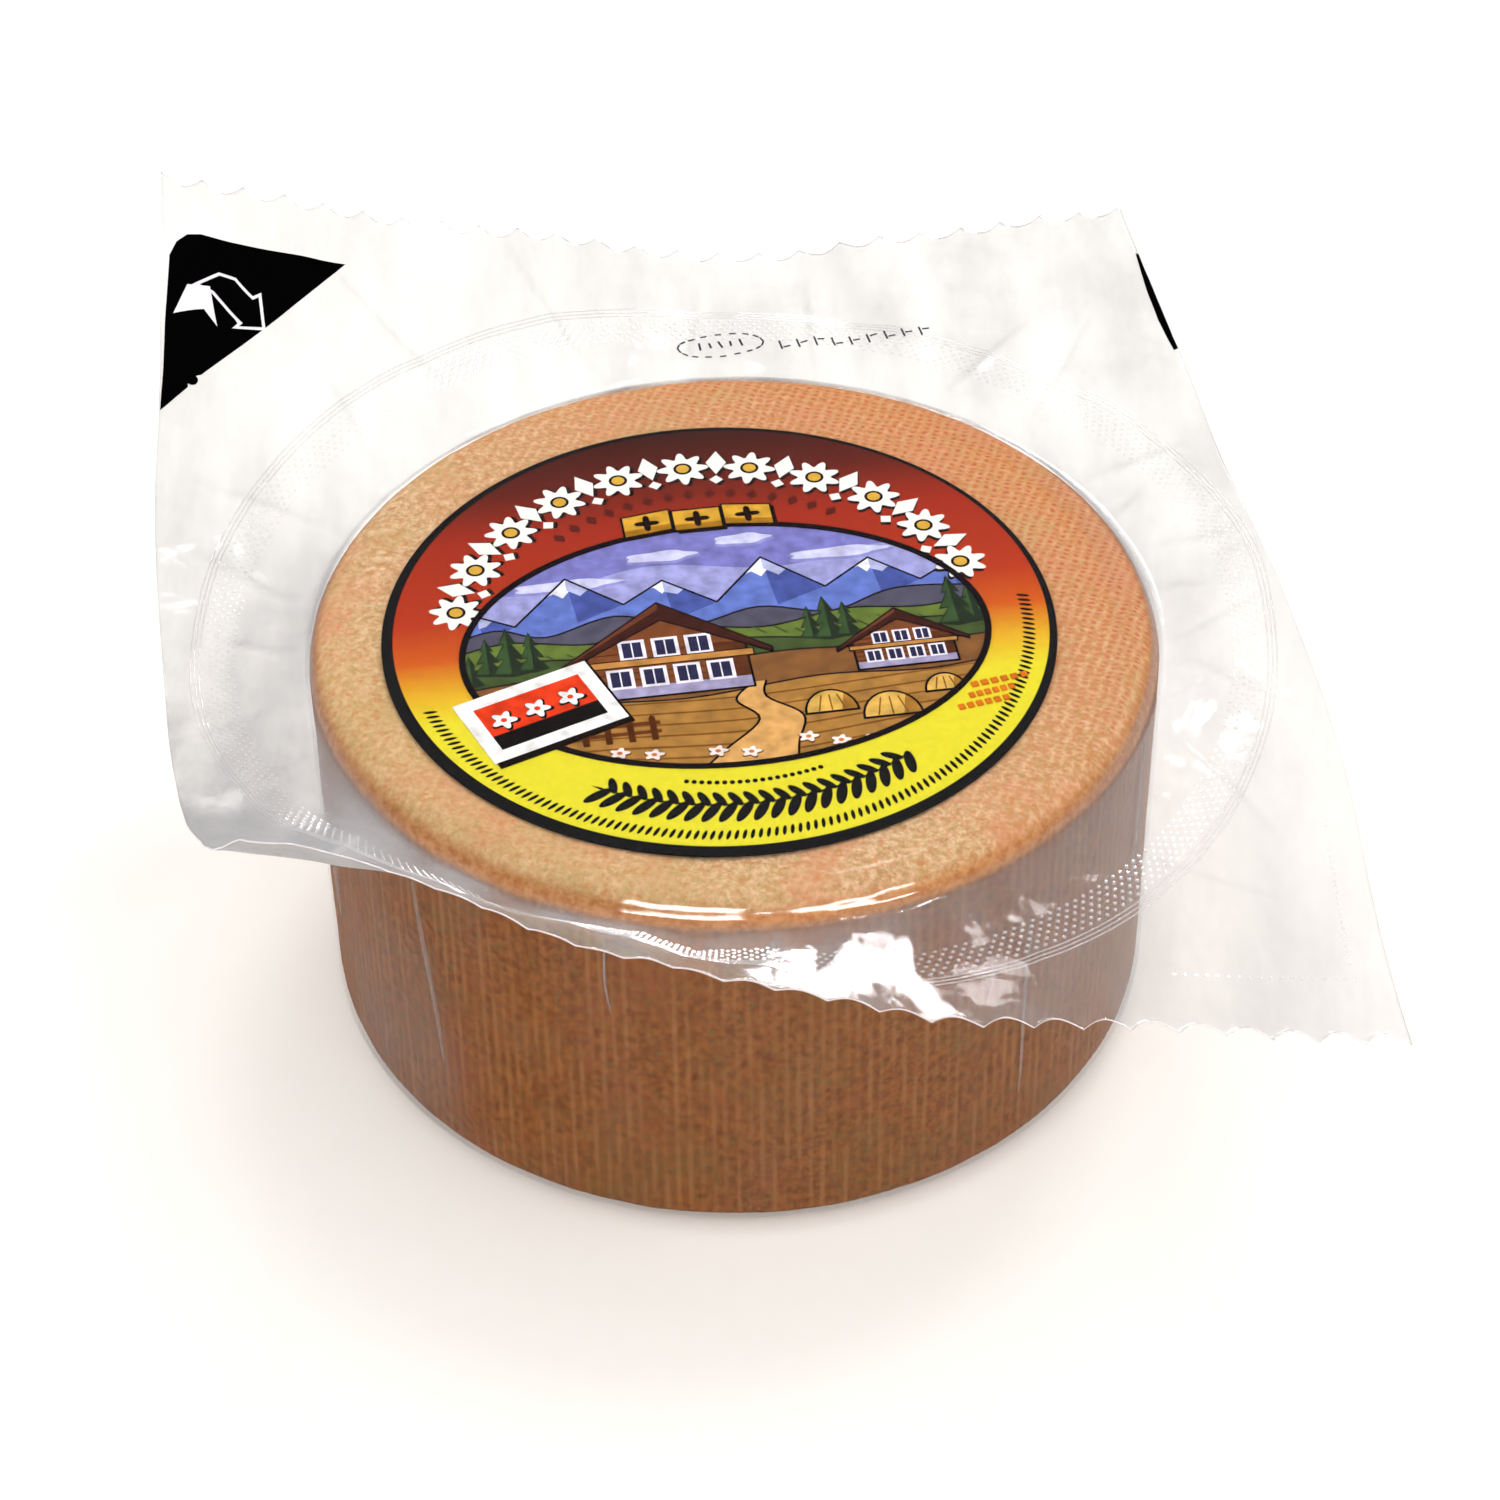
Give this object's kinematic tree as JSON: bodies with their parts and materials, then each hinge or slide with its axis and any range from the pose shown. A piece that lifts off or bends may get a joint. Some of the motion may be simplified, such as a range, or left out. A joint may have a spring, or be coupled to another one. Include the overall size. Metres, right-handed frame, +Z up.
{
  "type": "tete de moine cheese",
  "caption": "Small drum of semi-hard washed-rind cheese in a clear vacuum pack: a round paper label on top, a skin-tight film pocket, and a flat film flange with zigzag ends, bent by handling.",
  "frame": {"origin": "on the drum's axis, on the flat base of the pack, where it stands on the floor", "axes": "+Z up along the drum's axis, -Y towards the pictured front, +X to the right seen from the front"},
  "size_m": [0.1706, 0.1804, 0.0944],
  "materials": {
    "rind": "washed cheese rind, cloth-marked, moist",
    "label_paper": "coated printed paper",
    "pocket_film": "clear glossy deep-drawn film",
    "lid_film": "clear glossy film, creased"
  },
  "bodies": {
    "root": {"cheese": "rind", "label": "label_paper", "pocket_film": "pocket_film", "lid_film": "lid_film"}
  },
  "joints": []
}
